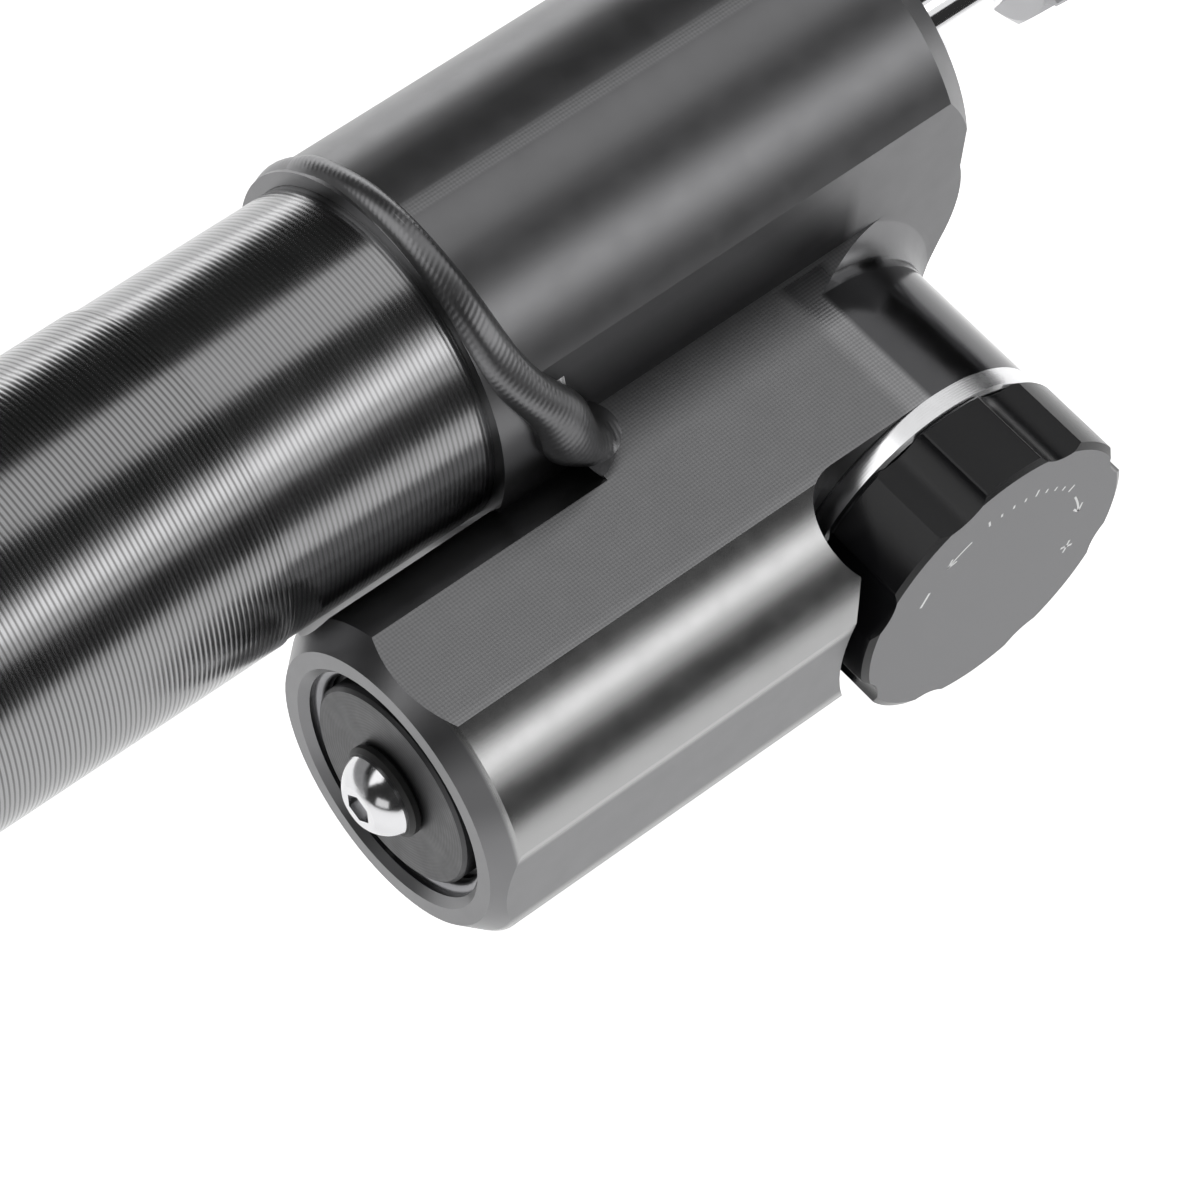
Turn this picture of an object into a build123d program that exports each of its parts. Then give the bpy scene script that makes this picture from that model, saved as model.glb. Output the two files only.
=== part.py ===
# Steering damper with a piggyback reservoir and an adjuster knob, as separate pieces.
# Millimetres. X runs along the damper from the tube to the rod eye, Z is up out of the milled flat,
# and the knob looks along -Y. Stations along X are counted from the plane where the tube meets the
# head; the files are written with the origin on the damper axis, midway along the clamp length.

import os
from math import cos, radians, sin, sqrt

from build123d import *

os.makedirs("parts", exist_ok=True)

# Fits shared by every piece
SLIDE_GAP = 0.04
STATIC_GAP = 0.02
RING_GAP = 0.02
FACE_GAP = 0.1

# Damper tube and its end cap
TUBE_R = 16.0
TUBE_WALL = 2.0
TUBE_BORE_R = TUBE_R - TUBE_WALL
TUBE_END_X = -106.0
TUBE_POCKET = 8.0
TUBE_NECK_R = TUBE_R - 0.2
CAP_FLANGE_T = 6.0
CAP_R = TUBE_R - 0.3
CAP_SPIGOT = 10.0
CAP_CHAMFER = 1.2

# Head barrel
HEAD_R = TUBE_R + 1.1
HEAD_LEN = 53.0
FAR_CHAMFER_X = 2.7
FAR_CHAMFER_R = 2.1
WALL_Y = 2.5 - HEAD_R
FLAT_Z = -1.6

# Reservoir beside the barrel
RES_R = 15.0
RES_FLAT = RES_R - 1.0
RES_OVERLAP = 5.85
RES_Y = RES_OVERLAP - HEAD_R - RES_R
RES_Z = FLAT_Z - RES_FLAT
RES_END_X = -19.2
RES_CHAMFER_X = 2.2
RES_CHAMFER_R = 1.9
RES_BORE_R = RES_R - 4.6
RES_PLUG_BORE_R = RES_BORE_R + 0.4
RES_PLUG_DEPTH = 9.6
RES_STEP_X = RES_END_X + RES_PLUG_DEPTH
TUBE_RELIEF = 0.4

# Full-size stretch of the tube, which a steering clamp can hold, and the shared origin at its middle
CLAMP_END_X = RES_END_X - 1.8
ORIGIN_X = (TUBE_END_X + CLAMP_END_X) / 2

# Adjuster boss and knob
KNOB_FROM_END = 18.6
KNOB_X = HEAD_LEN - KNOB_FROM_END
BOSS_R = 14.2
KNOB_Z = FLAT_Z - BOSS_R
RES_BORE_END_X = KNOB_X - BOSS_R - 0.2
BOSS_RISE = 13.9
BOSS_V = HEAD_R + BOSS_RISE
COLLAR_T = 2.1
KNOB_R = 14.65
KNOB_T = 8.35
KNOB_BEVEL_R = 0.6
KNOB_BEVEL_V = 0.35
KNOB_BACK_EDGE = 0.3
FLUTES = 8
FLUTE_R = 4.7
FLUTE_DEPTH = 1.05
FLUTE_CENTRE_R = KNOB_R - FLUTE_DEPTH + FLUTE_R
FLUTE_PHASE = 21.5
KNOB_CORNER_R = 0.4
RECESS_R = KNOB_R + 1.55
SLOT_R = 4.2
SLOT_FROM_KNOB = 10.95
SLOT_X = KNOB_X - SLOT_FROM_KNOB
SLOT_FLOOR_Z = -10.0

# Bead around the tube mouth
MOUTH_R = TUBE_R + 0.05
BEAD_FROM = 250.0
WEB_FRONT_X = 8.0

# Rod, piston and stroke
ROD_R = 5.0
ROD_PILOT_R = 3.5
ROD_THREAD_R = 4.0
STROKE = 75.0
PISTON_R = TUBE_BORE_R - 0.5
PISTON_T = 12.0
BAND_FLOOR_R = PISTON_R - 0.7
BAND_W = 6.0
SHOULDER_X = -75.0
SHIM_T = 0.6
SHIM_R = PISTON_R - 3.0
PISTON_NUT_T = 6.0
PISTON_NUT_AF = 11.0
BUMPER_T = 8.0
BUMPER_R = PISTON_R - 4.5
ROD_SHOULDER_X = HEAD_LEN + 13.0
ROD_TIP_X = ROD_SHOULDER_X + 26.0

# Rod end
EYE_X = ROD_TIP_X + 19.0
EYE_R = 12.0
EYE_T = 9.0
BALL_R = 7.94
BALL_W = 12.0
BALL_BORE_R = 4.0
LINER_T = 1.0
JAM_NUT_X = ROD_SHOULDER_X + 4.0
JAM_NUT_T = 5.0
JAM_NUT_AF = 13.0
SHANK_R = 6.5
SHANK_AF = 14.0

# Working frames of the three turned axes
MAIN = Plane.XY
RES = Plane(origin=(0, RES_Y, RES_Z), x_dir=(1, 0, 0), z_dir=(0, 0, 1))
VALVE = Plane(origin=(KNOB_X, 0, KNOB_Z), x_dir=(0, -1, 0), z_dir=(0, 0, 1))
RES_AXIS = Axis((0, RES_Y, RES_Z), (1, 0, 0))
VALVE_AXIS = Axis((KNOB_X, 0, KNOB_Z), (0, -1, 0))


def outline(points, plane):
    """Closed straight-sided face on a plane, ready to be turned or extruded."""
    with BuildSketch(plane) as sk:
        with BuildLine():
            Polyline(*points, close=True)
        make_face()
    return sk.sketch


def bar(x0, x1, r, plane):
    """Half section of a plain bar from x0 to x1."""
    return outline([(x0, 0), (x0, r), (x1, r), (x1, 0)], plane)


def sleeve(x0, x1, r_in, r_out, plane):
    """Half section of a plain tube from x0 to x1."""
    return outline([(x0, r_in), (x0, r_out), (x1, r_out), (x1, r_in)], plane)


def cord(x, r_in, r_out, plane):
    """Eight-sided section of a sealing ring that fills the gap between two radii."""
    with BuildSketch(plane) as sk:
        with Locations((x, (r_in + r_out) / 2)):
            RegularPolygon((r_out - r_in) / 2 - RING_GAP, 8, major_radius=False, rotation=22.5)
    return sk.sketch


# Stations along the main axis inside the head
CHAMBER_FLOOR = 4.0
CHAMBER_END_X = TUBE_POCKET + CHAMBER_FLOOR
CLIP_T = 1.0
CLIP_COVER = 1.4
SEAL_LEN = 8.0
WIPER_LEN = 4.6
WIPER_X1 = HEAD_LEN - CLIP_COVER - CLIP_T
SEAL_X1 = WIPER_X1 - WIPER_LEN
SEAL_X0 = SEAL_X1 - SEAL_LEN
GUIDE_SPACE = 8.0
GUIDE_END_X = SEAL_X0 - GUIDE_SPACE
GUIDE_R = ROD_R + 2.5
SEAL_R = ROD_R + 4.0
WIPER_R = ROD_R + 5.0
CLIP_GROOVE_R = WIPER_R + 0.7
ROD_CLEAR_R = ROD_R + 0.4

# Stations of the valve, measured outward from the damper axis
VALVE_BORE_R = 7.0
VALVE_FLOOR_V = GUIDE_R + 0.7
VALVE_CHAMBER_V = 5.0
VALVE_CHAMBER_R = 4.0
SEAT_T = 3.0
SEAT_BORE_R = 1.5
PORT_R = 1.5
PORT_Y = -6.5
PORT_Z = -11.5
LINK_Y = -17.5

# Stations of the reservoir plug
PLUG_FACE_X = RES_END_X + 0.4
PLUG_SHOULDER_X = RES_END_X + 2.8
PLUG_DISC_R = RES_PLUG_BORE_R - 1.4
PLUG_R = RES_PLUG_BORE_R - STATIC_GAP
SNAP_WIRE_R = 0.8
BORE_LIP = 0.7
SNAP_GROOVE_R = RES_PLUG_BORE_R + 0.7
SNAP_X = PLUG_SHOULDER_X - SNAP_WIRE_R

# Head with barrel, web, reservoir and adjuster boss, milled from one block
BLOCK = 60.0
FAR_WEB_BULGE = (HEAD_LEN + 0.5, -5.0)
FAR_WEB_BEND = (HEAD_LEN - 0.9, -11.2)
FAR_WEB_LOW_Z = KNOB_Z - BOSS_R
FAR_WEB_SLOPE = 0.39
FAR_WEB_INNER_Y = -6.0
BOSS_ROOT_R = 3.0
HULL_TRIM = 0.01
WALL_LOW_X = 10.3
WALL_HIGH_X = 4.2
WALL_HIGH_Z = 9.5
RIB_ROOT = 8.0
RIB_SUNK = 4.1
RIB_INNER_R = HEAD_R - RIB_SUNK
# Bead that grows into the rib, at even steps round the axis. Angle; front x and its height over the
# mouth; crest x and height over the barrel; back x and height over the barrel.
RIB_STATIONS = [
    (45, 0.0, 0.1, 1.3, 0.4, 2.6, -0.1),
    (60, 0.0, 0.1, 1.35, 0.5, 2.7, -0.1),
    (75, 0.0, 0.1, 1.4, 0.6, 2.8, -0.1),
    (90, 0.0, 0.1, 1.45, 0.85, 2.9, -0.1),
    (105, 0.0, 0.1, 1.5, 1.05, 3.0, -0.1),
    (120, 0.0, 0.1, 1.65, 1.3, 3.3, -0.1),
    (135, 0.1, 0.4, 2.0, 1.45, 3.9, -0.1),
    (150, 1.2, 1.2, 3.4, 1.7, 5.7, -0.6),
    (165, 3.2, 1.9, 5.8, 2.4, 8.5, -1.5),
    (180, 6.8, 3.6, 9.3, 2.9, 11.1, -2.4),
]
RIB_FOOT = (WEB_FRONT_X, 4.4, 10.4, 2.0, 12.0, -2.5)
RIB_FOOT_SINK = 0.3


def put(piece, name):
    """Carry a finished piece to the shared origin, name it and write its file."""
    placed = piece.part.moved(Location((-ORIGIN_X, 0, 0)))
    placed.label = name
    export_step(placed, f"parts/{name}.step")


def web_section(x):
    """Hull of the barrel and reservoir circles, below the flat and inside the reservoir axis."""
    with BuildSketch(Plane.YZ.offset(x)) as sk:
        with BuildLine():
            CenterArc((0, 0), HEAD_R - HULL_TRIM, 0, 360)
            CenterArc((RES_Y, RES_Z), RES_R - HULL_TRIM, 0, 360)
        make_hull()
        with Locations((0, FLAT_Z)):
            Rectangle(2 * BLOCK, BLOCK, align=(Align.CENTER, Align.MIN), mode=Mode.SUBTRACT)
        with Locations((RES_Y, 0)):
            Rectangle(BLOCK, 4 * BLOCK, align=(Align.MAX, Align.CENTER), mode=Mode.SUBTRACT)
    return sk.sketch


def rib_section(plane, front_x, front_up, crest_x, crest_up, back_x, back_up):
    """One section of the bead and rib: upright front, rounded crest, upright back."""
    front = (front_x, MOUTH_R + front_up)
    back = (back_x, HEAD_R + back_up)
    with BuildSketch(plane) as sk:
        with BuildLine():
            Line((back_x, RIB_INNER_R), (front_x, RIB_INNER_R))
            Line((front_x, RIB_INNER_R), front)
            ThreePointArc(front, (crest_x, HEAD_R + crest_up), back)
            Line(back, (back_x, RIB_INNER_R))
        make_face()
    return sk.sketch


# Side shape of the web beyond the boss, with its curved far edge
with BuildSketch(Plane.XZ.offset(-FAR_WEB_INNER_Y)) as far_web_side:
    with BuildLine():
        bend_x, bend_z = FAR_WEB_BEND
        ThreePointArc((HEAD_LEN, FLAT_Z), FAR_WEB_BULGE, FAR_WEB_BEND)
        Polyline(
            FAR_WEB_BEND,
            (bend_x - FAR_WEB_SLOPE * (bend_z - FAR_WEB_LOW_Z), FAR_WEB_LOW_Z),
            (KNOB_X, FAR_WEB_LOW_Z),
            (KNOB_X, FLAT_Z),
            (HEAD_LEN, FLAT_Z),
        )
    make_face()
far_web = extrude(far_web_side.sketch, amount=FAR_WEB_INNER_Y - WALL_Y) & extrude(
    web_section(KNOB_X), amount=HEAD_LEN
)

# Hollow corner between the boss and the facet beyond it
with BuildSketch(VALVE) as root_profile:
    with Locations((-WALL_Y, BOSS_R)):
        Rectangle(BOSS_ROOT_R, BOSS_ROOT_R, align=(Align.MIN, Align.MIN))
    with Locations((BOSS_ROOT_R - WALL_Y, BOSS_R + BOSS_ROOT_R)):
        Circle(BOSS_ROOT_R, mode=Mode.SUBTRACT)
    with Locations((-WALL_Y, BOSS_R)):
        Rectangle(BOSS_ROOT_R, HULL_TRIM, align=(Align.MIN, Align.MAX))
boss_root = revolve(root_profile.sketch, axis=VALVE_AXIS) & extrude(
    far_web_side.sketch, amount=FAR_WEB_INNER_Y - WALL_Y + BOSS_ROOT_R
)

with BuildPart() as head_body:
    # Barrel, web and the web's lower part beyond the boss
    revolve(
        outline(
            [
                (0, 0),
                (0, HEAD_R),
                (HEAD_LEN - FAR_CHAMFER_X, HEAD_R),
                (HEAD_LEN, HEAD_R - FAR_CHAMFER_R),
                (HEAD_LEN, 0),
            ],
            MAIN,
        ),
        axis=Axis.X,
    )
    extrude(web_section(WEB_FRONT_X), amount=KNOB_X - WEB_FRONT_X)
    add(far_web)
    # Pocket above the flat with its wall along the barrel, carried down beyond the boss
    with BuildSketch(Plane.XZ.offset(-WALL_Y)):
        with BuildLine():
            Polyline(
                (WALL_LOW_X, FLAT_Z),
                (KNOB_X, FLAT_Z),
                (KNOB_X, -BLOCK),
                (BLOCK, -BLOCK),
                (BLOCK, HEAD_R),
                (WALL_HIGH_X, HEAD_R),
                (WALL_HIGH_X, WALL_HIGH_Z),
                close=True,
            )
        make_face()
    extrude(amount=BLOCK, mode=Mode.SUBTRACT)
    # Adjuster boss, blended into the wall
    with BuildSketch(Plane.XZ):
        with Locations((KNOB_X, KNOB_Z)):
            Circle(BOSS_R)
    extrude(amount=BOSS_V)
    add(boss_root)
    # Bead that swells into the rib, runs down to the flat and roots in the web
    rib_ring = [rib_section(MAIN.rotated((turn, 0, 0)), *sizes) for turn, *sizes in RIB_STATIONS]
    rib_foot = rib_section(MAIN.rotated((180, 0, 0)).offset(RIB_FOOT_SINK - FLAT_Z), *RIB_FOOT)
    loft(sections=rib_ring)
    loft(sections=[rib_ring[-1], rib_foot], ruled=True)
    extrude(rib_foot, amount=RIB_ROOT)
    # Bead over the rest of the mouth
    first_turn, *bead_sizes = RIB_STATIONS[0]
    revolve(
        rib_section(MAIN.rotated((BEAD_FROM, 0, 0)), *bead_sizes),
        axis=Axis.X,
        revolution_arc=360 + first_turn - BEAD_FROM,
    )
    # Everything so far stops at the plane of the mouth
    with BuildSketch(Plane.YZ):
        Rectangle(BLOCK * 2, BLOCK * 2)
    extrude(amount=-BLOCK, mode=Mode.SUBTRACT)
    # Reservoir
    revolve(
        outline(
            [
                (RES_END_X, 0),
                (RES_END_X, RES_R - RES_CHAMFER_R),
                (RES_END_X + RES_CHAMFER_X, RES_R),
                (KNOB_X, RES_R),
                (KNOB_X, 0),
            ],
            RES,
        ),
        axis=RES_AXIS,
    )
    # Flats on the top and the outer side of the reservoir
    with BuildSketch(Plane.XY.offset(FLAT_Z)):
        with Locations((KNOB_X - BLOCK / 2, RES_Y)):
            Rectangle(BLOCK, 2 * sqrt(RES_R**2 - RES_FLAT**2) + 1)
    extrude(amount=RES_R, mode=Mode.SUBTRACT)
    with BuildSketch(Plane.XZ.offset(RES_FLAT - RES_Y)):
        with Locations((KNOB_X - BLOCK / 2, RES_Z)):
            Rectangle(BLOCK, 2 * RES_R)
    extrude(amount=RES_R, mode=Mode.SUBTRACT)
    # Clearance round the knob
    with BuildSketch(Plane.XZ.offset(BOSS_V)):
        with Locations((KNOB_X, KNOB_Z)):
            Circle(RECESS_R)
    extrude(amount=RES_R, mode=Mode.SUBTRACT)
    with BuildSketch(Plane.XY.offset(SLOT_FLOOR_Z)):
        with Locations((SLOT_X, -BOSS_V - SLOT_R)):
            Circle(SLOT_R)
        with Locations((SLOT_X, -BOSS_V)):
            Rectangle(BLOCK, RES_R, align=(Align.MIN, Align.MAX))
    extrude(amount=RES_R, mode=Mode.SUBTRACT)
    # Reservoir relieved where it passes the tube
    revolve(bar(RES_END_X - 1, 0, TUBE_R + TUBE_RELIEF, MAIN), axis=Axis.X, mode=Mode.SUBTRACT)
    # Stepped bore of the barrel
    revolve(
        outline(
            [
                (-1, 0),
                (-1, TUBE_NECK_R + STATIC_GAP),
                (TUBE_POCKET, TUBE_NECK_R + STATIC_GAP),
                (TUBE_POCKET, TUBE_BORE_R),
                (CHAMBER_END_X, TUBE_BORE_R),
                (CHAMBER_END_X, GUIDE_R),
                (GUIDE_END_X, GUIDE_R),
                (GUIDE_END_X, ROD_CLEAR_R),
                (SEAL_X0, ROD_CLEAR_R),
                (SEAL_X0, SEAL_R),
                (SEAL_X1, SEAL_R),
                (SEAL_X1, WIPER_R),
                (WIPER_X1, WIPER_R),
                (WIPER_X1, CLIP_GROOVE_R),
                (WIPER_X1 + CLIP_T + FACE_GAP, CLIP_GROOVE_R),
                (WIPER_X1 + CLIP_T + FACE_GAP, WIPER_R),
                (HEAD_LEN - 0.6, WIPER_R),
                (HEAD_LEN, WIPER_R + 0.6),
                (HEAD_LEN + 1, WIPER_R + 0.6),
                (HEAD_LEN + 1, 0),
            ],
            MAIN,
        ),
        axis=Axis.X,
        mode=Mode.SUBTRACT,
    )
    # Reservoir bore with its lip, snap ring groove and step
    revolve(
        outline(
            [
                (RES_END_X - 1, 0),
                (RES_END_X - 1, RES_PLUG_BORE_R + BORE_LIP),
                (RES_END_X, RES_PLUG_BORE_R + BORE_LIP),
                (RES_END_X + BORE_LIP, RES_PLUG_BORE_R),
                (SNAP_X - SNAP_WIRE_R, RES_PLUG_BORE_R),
                (SNAP_X - SNAP_WIRE_R, SNAP_GROOVE_R),
                (SNAP_X + SNAP_WIRE_R, SNAP_GROOVE_R),
                (SNAP_X + SNAP_WIRE_R, RES_PLUG_BORE_R),
                (RES_STEP_X, RES_PLUG_BORE_R),
                (RES_STEP_X, RES_BORE_R),
                (RES_BORE_END_X, RES_BORE_R),
                (RES_BORE_END_X, 0),
            ],
            RES,
        ),
        axis=RES_AXIS,
        mode=Mode.SUBTRACT,
    )
    # Valve bore
    revolve(
        outline(
            [
                (VALVE_CHAMBER_V, 0),
                (VALVE_CHAMBER_V, VALVE_CHAMBER_R),
                (VALVE_FLOOR_V, VALVE_CHAMBER_R),
                (VALVE_FLOOR_V, VALVE_BORE_R),
                (BOSS_V + 1, VALVE_BORE_R),
                (BOSS_V + 1, 0),
            ],
            VALVE,
        ),
        axis=VALVE_AXIS,
        mode=Mode.SUBTRACT,
    )
    # Oil ways: damper to valve, valve to reservoir
    with BuildSketch(Plane.YZ.offset(CHAMBER_END_X - 1)):
        with Locations((PORT_Y, PORT_Z)):
            Circle(PORT_R)
    extrude(amount=KNOB_X - CHAMBER_END_X + 1, mode=Mode.SUBTRACT)
    with BuildSketch(Plane.YZ.offset(RES_BORE_END_X - 1)):
        with Locations((LINK_Y, RES_Z)):
            Circle(PORT_R)
    extrude(amount=KNOB_X - VALVE_BORE_R - RES_BORE_END_X + 2, mode=Mode.SUBTRACT)
put(head_body, "head_body")

# Damper tube, necked where it passes the reservoir, seated on the floor of the head's pocket
with BuildPart() as damper_tube:
    revolve(
        outline(
            [
                (TUBE_END_X, TUBE_BORE_R),
                (TUBE_END_X, TUBE_R),
                (CLAMP_END_X, TUBE_R),
                (CLAMP_END_X, TUBE_NECK_R),
                (TUBE_POCKET, TUBE_NECK_R),
                (TUBE_POCKET, TUBE_BORE_R),
            ],
            MAIN,
        ),
        axis=Axis.X,
    )
put(damper_tube, "damper_tube")

# End cap with a sealed spigot and two spanner holes
CAP_END_X = TUBE_END_X - CAP_FLANGE_T
CAP_INNER_X = TUBE_END_X + CAP_SPIGOT
CAP_SEAL_X = TUBE_END_X + CAP_SPIGOT / 2
SEAL_SLOT_W = 2.4
CAP_SEAL_FLOOR_R = TUBE_BORE_R - 1.8
SPANNER_R = 1.6
SPANNER_PCR = TUBE_BORE_R - 5.0
CAP_DISH = 0.8
with BuildPart() as end_cap:
    revolve(
        outline(
            [
                (CAP_END_X, 0),
                (CAP_END_X, CAP_R - CAP_CHAMFER),
                (CAP_END_X + CAP_CHAMFER, CAP_R),
                (TUBE_END_X, CAP_R),
                (TUBE_END_X, TUBE_BORE_R - STATIC_GAP),
                (CAP_SEAL_X - SEAL_SLOT_W / 2, TUBE_BORE_R - STATIC_GAP),
                (CAP_SEAL_X - SEAL_SLOT_W / 2, CAP_SEAL_FLOOR_R),
                (CAP_SEAL_X + SEAL_SLOT_W / 2, CAP_SEAL_FLOOR_R),
                (CAP_SEAL_X + SEAL_SLOT_W / 2, TUBE_BORE_R - STATIC_GAP),
                (CAP_INNER_X - 0.5, TUBE_BORE_R - STATIC_GAP),
                (CAP_INNER_X, TUBE_BORE_R - STATIC_GAP - 0.5),
                (CAP_INNER_X, 0),
            ],
            MAIN,
        ),
        axis=Axis.X,
    )
    with BuildSketch(Plane.YZ.offset(CAP_END_X)):
        with PolarLocations(SPANNER_PCR, 2):
            Circle(SPANNER_R)
    extrude(amount=CAP_FLANGE_T / 2, mode=Mode.SUBTRACT)
    with BuildSketch(Plane.YZ.offset(CAP_END_X)):
        Circle(SPANNER_PCR - 2 * SPANNER_R)
    extrude(amount=CAP_DISH, mode=Mode.SUBTRACT)
put(end_cap, "end_cap")

with BuildPart() as end_cap_o_ring:
    revolve(cord(CAP_SEAL_X, CAP_SEAL_FLOOR_R, TUBE_BORE_R, MAIN), axis=Axis.X)
put(end_cap_o_ring, "end_cap_o_ring")

# Rod guide, flanged on the chamber side
GUIDE_FLANGE_R = TUBE_BORE_R - 2.0
GUIDE_FLANGE_T = 2.0
with BuildPart() as rod_guide:
    revolve(
        outline(
            [
                (CHAMBER_END_X - GUIDE_FLANGE_T, ROD_R + SLIDE_GAP + 0.4),
                (CHAMBER_END_X - GUIDE_FLANGE_T, GUIDE_FLANGE_R),
                (CHAMBER_END_X, GUIDE_FLANGE_R),
                (CHAMBER_END_X, GUIDE_R - STATIC_GAP),
                (GUIDE_END_X, GUIDE_R - STATIC_GAP),
                (GUIDE_END_X, ROD_R + SLIDE_GAP),
                (CHAMBER_END_X - GUIDE_FLANGE_T + 0.4, ROD_R + SLIDE_GAP),
            ],
            MAIN,
        ),
        axis=Axis.X,
    )
put(rod_guide, "rod_guide")

# Rod seal: cup section with its lips toward the oil
SEAL_LIP = 2.6
with BuildPart() as rod_seal:
    revolve(
        outline(
            [
                (SEAL_X0, ROD_R + SLIDE_GAP),
                (SEAL_X0, ROD_R + 1.2),
                (SEAL_X0 + SEAL_LIP, ROD_R + 1.6),
                (SEAL_X0 + SEAL_LIP, SEAL_R - 1.6),
                (SEAL_X0, SEAL_R - 1.2),
                (SEAL_X0, SEAL_R - STATIC_GAP),
                (SEAL_X1, SEAL_R - STATIC_GAP),
                (SEAL_X1, ROD_R + SLIDE_GAP),
            ],
            MAIN,
        ),
        axis=Axis.X,
    )
put(rod_seal, "rod_seal")

# Wiper with a raised lip that reaches out past the retaining ring
WIPER_LIP_R = 6.2
with BuildPart() as rod_wiper:
    revolve(
        outline(
            [
                (SEAL_X1, ROD_R + SLIDE_GAP),
                (SEAL_X1, WIPER_R - STATIC_GAP),
                (WIPER_X1, WIPER_R - STATIC_GAP),
                (WIPER_X1, WIPER_LIP_R + 0.8),
                (HEAD_LEN - 0.4, ROD_R + SLIDE_GAP + 0.5),
                (HEAD_LEN - 0.4, ROD_R + SLIDE_GAP),
            ],
            MAIN,
        ),
        axis=Axis.X,
    )
put(rod_wiper, "rod_wiper")

# Retaining ring, sprung open in its groove
CLIP_IN_R = CLIP_GROOVE_R - 2.3
CLIP_GAP = 4.0
with BuildPart() as wiper_clip:
    revolve(
        sleeve(WIPER_X1, WIPER_X1 + CLIP_T, CLIP_IN_R, CLIP_GROOVE_R - STATIC_GAP, MAIN), axis=Axis.X
    )
    with BuildSketch(Plane.YZ.offset(WIPER_X1 - 1)):
        with Locations((0, -CLIP_GROOVE_R)):
            Rectangle(CLIP_GAP, CLIP_GROOVE_R)
    extrude(amount=CLIP_T + 2, mode=Mode.SUBTRACT)
put(wiper_clip, "wiper_clip")

# Reservoir plug
PLUG_SEAL_X = RES_STEP_X - 3.2
PLUG_SEAL_FLOOR_R = RES_PLUG_BORE_R - 1.8
PLUG_EDGE = 0.3
SCREW_R = 2.0
with BuildPart() as reservoir_plug:
    revolve(
        outline(
            [
                (PLUG_FACE_X, SCREW_R + STATIC_GAP),
                (PLUG_FACE_X, PLUG_DISC_R - PLUG_EDGE),
                (PLUG_FACE_X + PLUG_EDGE, PLUG_DISC_R),
                (PLUG_SHOULDER_X, PLUG_DISC_R),
                (PLUG_SHOULDER_X, PLUG_R),
                (PLUG_SEAL_X - SEAL_SLOT_W / 2, PLUG_R),
                (PLUG_SEAL_X - SEAL_SLOT_W / 2, PLUG_SEAL_FLOOR_R),
                (PLUG_SEAL_X + SEAL_SLOT_W / 2, PLUG_SEAL_FLOOR_R),
                (PLUG_SEAL_X + SEAL_SLOT_W / 2, PLUG_R),
                (RES_STEP_X, PLUG_R),
                (RES_STEP_X, SCREW_R + STATIC_GAP),
            ],
            RES,
        ),
        axis=RES_AXIS,
    )
put(reservoir_plug, "reservoir_plug")

with BuildPart() as plug_o_ring:
    revolve(cord(PLUG_SEAL_X, PLUG_SEAL_FLOOR_R, RES_PLUG_BORE_R, RES), axis=RES_AXIS)
put(plug_o_ring, "plug_o_ring")

# Round-wire snap ring with an open gap
SNAP_OPEN = 28.0
SNAP_TURN = 100.0
with BuildPart() as snap_ring:
    with BuildSketch(RES.rotated((SNAP_TURN, 0, 0))):
        with Locations((SNAP_X, SNAP_GROOVE_R - SNAP_WIRE_R - STATIC_GAP)):
            Circle(SNAP_WIRE_R)
    revolve(axis=RES_AXIS, revolution_arc=360 - SNAP_OPEN)
put(snap_ring, "snap_ring")

# Button-head bleed screw over a rubber washer
WASHER_T = 1.2
WASHER_R = 4.3
BUTTON_R = 3.8
BUTTON_H = 2.2
BUTTON_FLAT_R = 2.1
SCREW_SEAT_X = PLUG_FACE_X - WASHER_T
SCREW_END_X = RES_STEP_X
HEX_AF = 2.5
HEX_DEPTH = 1.3
with BuildPart() as bleed_washer:
    revolve(sleeve(SCREW_SEAT_X, PLUG_FACE_X, SCREW_R + STATIC_GAP, WASHER_R, RES), axis=RES_AXIS)
    chamfer(bleed_washer.edges().filter_by(GeomType.CIRCLE).sort_by(SortBy.RADIUS)[-2:], 0.35)
put(bleed_washer, "bleed_washer")

with BuildPart() as bleed_screw:
    with BuildSketch(RES):
        with BuildLine():
            Polyline(
                (SCREW_SEAT_X - BUTTON_H, BUTTON_FLAT_R),
                (SCREW_SEAT_X - BUTTON_H, 0),
                (SCREW_END_X, 0),
                (SCREW_END_X, SCREW_R - 0.4),
                (SCREW_END_X - 0.4, SCREW_R),
                (SCREW_SEAT_X, SCREW_R),
                (SCREW_SEAT_X, BUTTON_R),
                (SCREW_SEAT_X - 0.25, BUTTON_R),
            )
            RadiusArc(
                (SCREW_SEAT_X - BUTTON_H, BUTTON_FLAT_R),
                (SCREW_SEAT_X - 0.25, BUTTON_R),
                BUTTON_R,
            )
        make_face()
    revolve(axis=RES_AXIS)
    with BuildSketch(Plane.YZ.offset(SCREW_SEAT_X - BUTTON_H)):
        with Locations((RES_Y, RES_Z)):
            RegularPolygon(HEX_AF / 2, 6, major_radius=False, rotation=20)
    extrude(amount=HEX_DEPTH, mode=Mode.SUBTRACT)
put(bleed_screw, "bleed_screw")

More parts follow.
